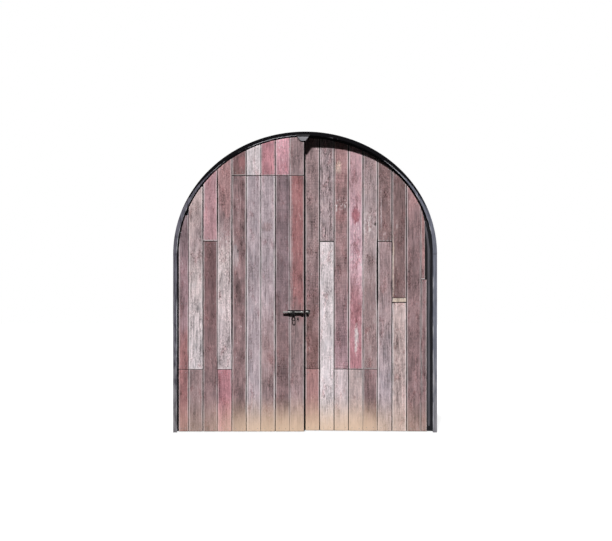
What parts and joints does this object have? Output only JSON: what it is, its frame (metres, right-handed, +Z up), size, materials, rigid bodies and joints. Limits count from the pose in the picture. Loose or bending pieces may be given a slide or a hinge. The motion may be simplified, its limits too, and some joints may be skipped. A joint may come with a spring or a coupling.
{
  "type": "arched double door",
  "caption": "Arched double door of reclaimed boards on steel-rimmed leaves in a welded steel frame, with barrel hinges and a sliding padlock bolt.",
  "frame": {"origin": "floor level, on the centre line of the doorway, in the plane of the steel frame's front face", "axes": "+X to the right as seen from the front, +Y into the building away from the viewer, +Z up"},
  "size_m": [2.64, 0.1551, 3.01],
  "materials": {
    "frame_steel": "dark blue-black paint, worn to grey on the edges",
    "plate_steel": "weathered light grey steel",
    "rim_steel": "matt black paint",
    "hinge_steel": "matt black paint over turned steel",
    "bolt_steel": "dull worn steel",
    "hasp_steel": "black forged iron",
    "plywood": "dark stained plywood",
    "board_whitewash": "weathered white paint on sawn wood",
    "board_pale_grey": "weathered pale grey sawn wood",
    "board_lilac_grey": "weathered lilac grey sawn wood",
    "board_grey_pink": "weathered grey pink sawn wood",
    "board_grey_brown": "weathered grey brown sawn wood",
    "board_pale_pink": "worn pale pink paint on sawn wood",
    "board_rose": "worn rose paint on sawn wood",
    "board_red_brown": "worn red brown paint on sawn wood",
    "board_mauve_brown": "weathered mauve brown sawn wood",
    "board_slate_mauve": "weathered slate mauve sawn wood",
    "board_brown": "weathered brown sawn wood",
    "board_dark_brown": "weathered dark brown sawn wood",
    "board_bare_tan": "bare tan sawn wood"
  },
  "bodies": {
    "frame": {"frame_arch": "frame_steel", "frame_jamb_left": "frame_steel", "frame_jamb_right": "frame_steel", "head_stop_plate": "plate_steel", "left_lower_hinge_pin_half": "hinge_steel", "left_upper_hinge_pin_half": "hinge_steel", "right_lower_hinge_pin_half": "hinge_steel", "right_upper_hinge_pin_half": "hinge_steel"},
    "left_leaf": {"left_leaf_rim": "rim_steel", "left_leaf_core": "plywood", "left_lower_hinge_socket_half": "hinge_steel", "left_upper_hinge_socket_half": "hinge_steel", "left_board_1_lower": "board_red_brown", "left_board_1_upper": "board_grey_brown", "left_board_2_lower": "board_slate_mauve", "left_board_2_upper": "board_pale_pink", "left_board_3_lower": "board_grey_pink", "left_board_3_upper": "board_rose", "left_board_4_lower": "board_lilac_grey", "left_board_4_upper": "board_whitewash", "left_board_5_lower": "board_brown", "left_board_5_upper": "board_dark_brown", "left_board_6_lower": "board_rose", "left_board_6_upper": "board_pale_grey", "left_board_7_lower": "board_dark_brown", "left_board_7_upper": "board_rose", "left_board_8_lower": "board_grey_pink", "left_board_8_upper": "board_pale_grey", "left_board_9_lower": "board_red_brown", "left_board_9_upper": "board_slate_mauve", "bolt_plate": "bolt_steel", "hasp_staple": "hasp_steel"},
    "right_leaf": {"right_leaf_rim": "rim_steel", "right_leaf_core": "plywood", "right_lower_hinge_socket_half": "hinge_steel", "right_upper_hinge_socket_half": "hinge_steel", "right_board_1_lower": "board_red_brown", "right_board_1_upper": "board_grey_brown", "right_board_2_lower": "board_whitewash", "right_board_2_upper": "board_lilac_grey", "right_board_3_lower": "board_whitewash", "right_board_3_upper": "board_mauve_brown", "right_board_4_lower": "board_lilac_grey", "right_board_4_upper": "board_pale_pink", "right_board_5_lower": "board_brown", "right_board_5_upper": "board_grey_brown", "right_board_6_lower": "board_lilac_grey", "right_board_6_upper": "board_mauve_brown", "right_board_7_lower": "board_pale_grey", "right_board_7_filler": "board_bare_tan", "right_board_7_upper": "board_brown", "right_board_8": "board_mauve_brown", "right_board_9_lower": "board_mauve_brown", "right_board_9_upper": "board_red_brown", "bolt_keeper": "bolt_steel"},
    "bolt": {"bolt_rod": "bolt_steel"},
    "hasp": {"bolt_hasp": "hasp_steel"}
  },
  "joints": [
    {"name": "left_leaf_hinge", "type": "hinge", "parent": "frame", "child": "left_leaf", "pos_m": [-1.3027, 0.0746, 0.4], "axis": [0, 0, 1], "range_deg": [0, 90]},
    {"name": "right_leaf_hinge", "type": "hinge", "parent": "frame", "child": "right_leaf", "pos_m": [1.3027, 0.0746, 0.4], "axis": [0, 0, -1], "range_deg": [-3, 87]},
    {"name": "bolt_slide", "type": "slide", "parent": "left_leaf", "child": "bolt", "axis": [1, 0, 0], "range_m": [0, 0.048]},
    {"name": "hasp_turn", "type": "hinge", "parent": "bolt", "child": "hasp", "pos_m": [-0.12, -0.0132, 1.203], "axis": [-1, 0, 0], "range_deg": [-12, 150]}
  ]
}
